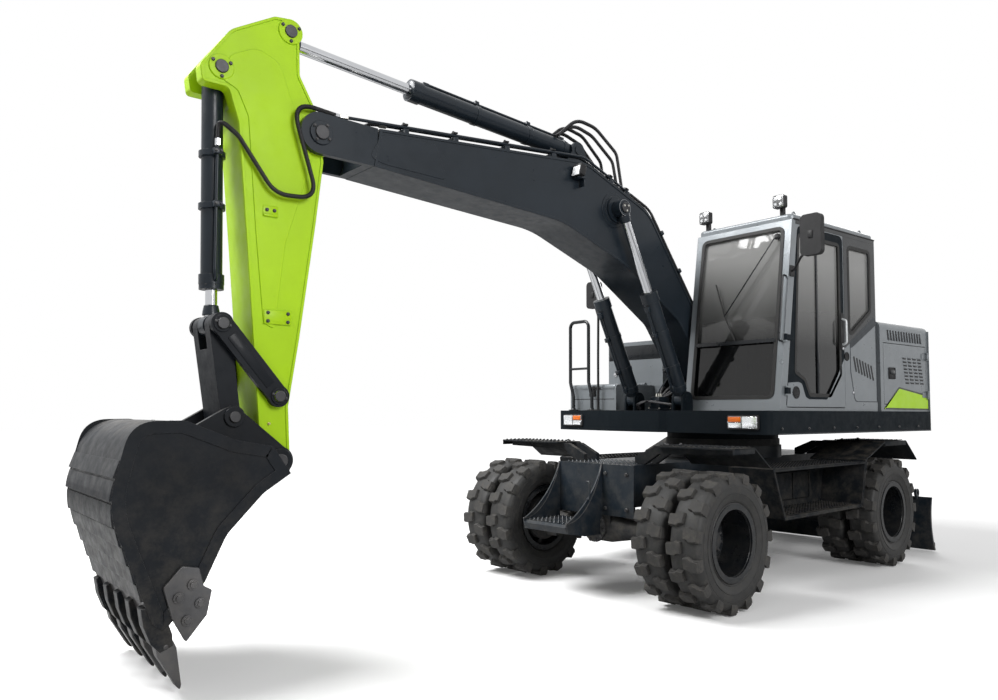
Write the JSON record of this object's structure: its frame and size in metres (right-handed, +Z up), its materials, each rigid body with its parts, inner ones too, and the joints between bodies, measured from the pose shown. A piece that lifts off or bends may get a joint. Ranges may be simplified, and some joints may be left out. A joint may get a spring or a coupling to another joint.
{
  "type": "wheeled excavator",
  "caption": "Wheeled excavator with a slewing house, cab, one-piece boom, arm, toothed backhoe bucket, twin tyres, steered front axle and a rear dozer blade.",
  "frame": {"origin": "on the ground under the slew centre, with the house square to the axes and the chassis turned 3.5 degrees under it", "axes": "+X forward along the boom, +Y towards the cab side, +Z up"},
  "size_m": [7.8972, 2.9439, 3.9348],
  "materials": {
    "green_paint": "gloss",
    "dark_paint": "satin",
    "silver_paint": "gloss",
    "black_paint": "satin",
    "steel": "machined",
    "chrome": "polished",
    "tyre": "matte",
    "glass": "tinted",
    "lamp": "clear",
    "black_plastic": "grained",
    "cloth": "woven",
    "iron": "painted"
  },
  "bodies": {
    "chassis": {"chassis_frame": "dark_paint", "slew_ring": "iron", "front_step": "dark_paint", "front_axle": "iron", "rear_axle": "iron", "drive_line": "iron", "side_boxes": "silver_paint", "front_fenders": "black_paint", "rear_fenders": "black_paint", "blade_pins": "steel"},
    "knuckle_left": {"steering_knuckle_left": "iron"},
    "knuckle_right": {"steering_knuckle_right": "iron"},
    "wheel_front_left": {"tyres_front_left": "tyre", "rims_front_left": "black_paint"},
    "wheel_front_right": {"tyres_front_right": "tyre", "rims_front_right": "black_paint"},
    "wheel_rear_left": {"tyres_rear_left": "tyre", "rims_rear_left": "black_paint"},
    "wheel_rear_right": {"tyres_rear_right": "tyre", "rims_rear_right": "black_paint"},
    "blade": {"blade": "dark_paint"},
    "blade_barrels": {"blade_cylinder_barrels": "dark_paint"},
    "blade_rods": {"blade_cylinder_rods": "chrome"},
    "house": {"revolving_frame": "dark_paint", "deck": "dark_paint", "counterweight": "dark_paint", "hood": "silver_paint", "engine": "iron", "tank": "silver_paint", "tool_box": "silver_paint", "cab_frame": "silver_paint", "cab_roof": "silver_paint", "cab_glass": "glass", "seat": "cloth", "cab_consoles": "black_plastic", "steering_column": "black_plastic", "handrail": "dark_paint", "mirrors": "black_plastic", "head_lamps": "lamp", "roof_lamps": "lamp", "exhaust": "black_paint"},
    "door": {"cab_door": "black_paint", "door_glass": "glass"},
    "lid": {"hood_lid": "silver_paint"},
    "side_door": {"hood_door": "silver_paint"},
    "box_lid": {"tool_box_lid": "silver_paint"},
    "boom": {"boom": "dark_paint"},
    "boom_barrels": {"boom_cylinder_barrels": "dark_paint"},
    "boom_rods": {"boom_cylinder_rods": "chrome"},
    "arm": {"arm": "green_paint"},
    "arm_barrel": {"arm_cylinder_barrel": "dark_paint"},
    "arm_rod": {"arm_cylinder_rod": "chrome"},
    "bucket_barrel": {"bucket_cylinder_barrel": "dark_paint"},
    "bucket_rod": {"bucket_cylinder_rod": "chrome"},
    "rocker": {"rockers": "dark_paint"},
    "link": {"push_link": "dark_paint"},
    "bucket": {"bucket": "dark_paint"}
  },
  "joints": [
    {"name": "steer_left", "type": "hinge", "parent": "chassis", "child": "knuckle_left", "pos_m": [1.72885, 0.7269, 0.512], "axis": [0, 0, 1], "range_deg": [-28, 28]},
    {"name": "steer_right", "type": "hinge", "parent": "chassis", "child": "knuckle_right", "pos_m": [1.80455, -0.51079, 0.512], "axis": [0, 0, 1], "range_deg": [-28, 28]},
    {"name": "spin_front_left", "type": "hinge", "parent": "knuckle_left", "child": "wheel_front_left", "pos_m": [1.70779, 1.07126, 0.512], "axis": [-0.061, 0.9981, 0], "continuous": true},
    {"name": "spin_front_right", "type": "hinge", "parent": "knuckle_right", "child": "wheel_front_right", "pos_m": [1.82561, -0.85514, 0.512], "axis": [-0.061, 0.9981, 0], "continuous": true},
    {"name": "spin_rear_left", "type": "hinge", "parent": "chassis", "child": "wheel_rear_left", "pos_m": [-1.08699, 0.90032, 0.512], "axis": [-0.061, 0.9981, 0], "continuous": true},
    {"name": "spin_rear_right", "type": "hinge", "parent": "chassis", "child": "wheel_rear_right", "pos_m": [-0.96917, -1.02608, 0.512], "axis": [-0.061, 0.9981, 0], "continuous": true},
    {"name": "blade_lift", "type": "hinge", "parent": "chassis", "child": "blade", "pos_m": [-1.44729, -0.08852, 0.48], "axis": [-0.061, 0.9981, 0], "range_deg": [-3, 22]},
    {"name": "blade_cylinder_swing", "type": "hinge", "parent": "chassis", "child": "blade_barrels", "pos_m": [-1.4972, -0.09157, 0.985], "axis": [-0.061, 0.9981, 0], "range_deg": [-4, 18]},
    {"name": "blade_rod_slide", "type": "slide", "parent": "blade_barrels", "child": "blade_rods", "axis": [-0.8566, -0.0524, -0.5134], "range_m": [-0.19, 0.03]},
    {"name": "slew", "type": "hinge", "parent": "chassis", "child": "house", "pos_m": [0, 0, 1.2], "axis": [0, 0, 1], "continuous": true},
    {"name": "cab_door_swing", "type": "hinge", "parent": "house", "child": "door", "pos_m": [0.8, 1.226, 1.6], "axis": [0, 0, -1], "range_deg": [0, 85]},
    {"name": "hood_lid_lift", "type": "hinge", "parent": "house", "child": "lid", "pos_m": [-0.835, 0, 2.346], "axis": [0, 1, 0], "range_deg": [0, 55]},
    {"name": "hood_door_swing", "type": "hinge", "parent": "house", "child": "side_door", "pos_m": [-1.745, 1.241, 1.8], "axis": [0, 0, 1], "range_deg": [0, 100]},
    {"name": "tool_box_lid_lift", "type": "hinge", "parent": "house", "child": "box_lid", "pos_m": [0.346, 0, 1.751], "axis": [0, -1, 0], "range_deg": [0, 80]},
    {"name": "boom_lift", "type": "hinge", "parent": "house", "child": "boom", "pos_m": [0.43, 0, 1.88], "axis": [0, -1, 0], "range_deg": [-50, 30]},
    {"name": "boom_cylinder_swing", "type": "hinge", "parent": "house", "child": "boom_barrels", "pos_m": [0.96, 0, 1.575], "axis": [0, -1, 0], "range_deg": [-53, 32]},
    {"name": "boom_rod_slide", "type": "slide", "parent": "boom_barrels", "child": "boom_rods", "axis": [0.4359, 0, 0.9], "range_m": [-0.49, 0.3]},
    {"name": "arm_swing", "type": "hinge", "parent": "boom", "child": "arm", "pos_m": [4.435, 0, 3.238], "axis": [0, 1, 0], "range_deg": [-65, 40]},
    {"name": "arm_cylinder_swing", "type": "hinge", "parent": "boom", "child": "arm_barrel", "pos_m": [2.048, 0, 3.658], "axis": [0, 1, 0], "range_deg": [-4, 3]},
    {"name": "arm_rod_slide", "type": "slide", "parent": "arm_barrel", "child": "arm_rod", "axis": [0.997, 0, 0.0771], "range_m": [-0.66, 0.41]},
    {"name": "bucket_curl", "type": "hinge", "parent": "arm", "child": "bucket", "pos_m": [4.664, 0, 1.161], "axis": [0, 1, 0], "range_deg": [-12, 130]},
    {"name": "rocker_swing", "type": "hinge", "parent": "arm", "child": "rocker", "pos_m": [4.678, 0, 1.551], "axis": [0, 1, 0], "range_deg": [-10, 100]},
    {"name": "link_swing", "type": "hinge", "parent": "rocker", "child": "link", "pos_m": [5.031, 0, 1.972], "axis": [0, 1, 0], "range_deg": [-68, 7]},
    {"name": "bucket_cylinder_swing", "type": "hinge", "parent": "arm", "child": "bucket_barrel", "pos_m": [5.061, 0, 3.513], "axis": [0, 1, 0], "range_deg": [-5, 1]},
    {"name": "bucket_rod_slide", "type": "slide", "parent": "bucket_barrel", "child": "bucket_rod", "axis": [-0.0195, 0, -0.9998], "range_m": [-0.08, 0.83]}
  ],
  "couplings": [
    {"joint": "steer_right", "follows": "steer_left", "ratio": 1},
    {"joint": "blade_cylinder_swing", "follows": "blade_lift", "ratio": 0.72},
    {"joint": "blade_rod_slide", "follows": "blade_lift", "m_per_rad": -0.48},
    {"joint": "boom_cylinder_swing", "follows": "boom_lift", "ratio": 1.0365},
    {"joint": "boom_rod_slide", "follows": "boom_lift", "m_per_rad": 0.5526},
    {"joint": "arm_cylinder_swing", "follows": "arm_swing", "ratio": 0.045},
    {"joint": "arm_rod_slide", "follows": "arm_swing", "m_per_rad": 0.575},
    {"joint": "rocker_swing", "follows": "bucket_curl", "ratio": 0.76},
    {"joint": "link_swing", "follows": "bucket_curl", "ratio": -0.51},
    {"joint": "bucket_cylinder_swing", "follows": "bucket_curl", "ratio": -0.0309},
    {"joint": "bucket_rod_slide", "follows": "bucket_curl", "m_per_rad": 0.3622}
  ]
}
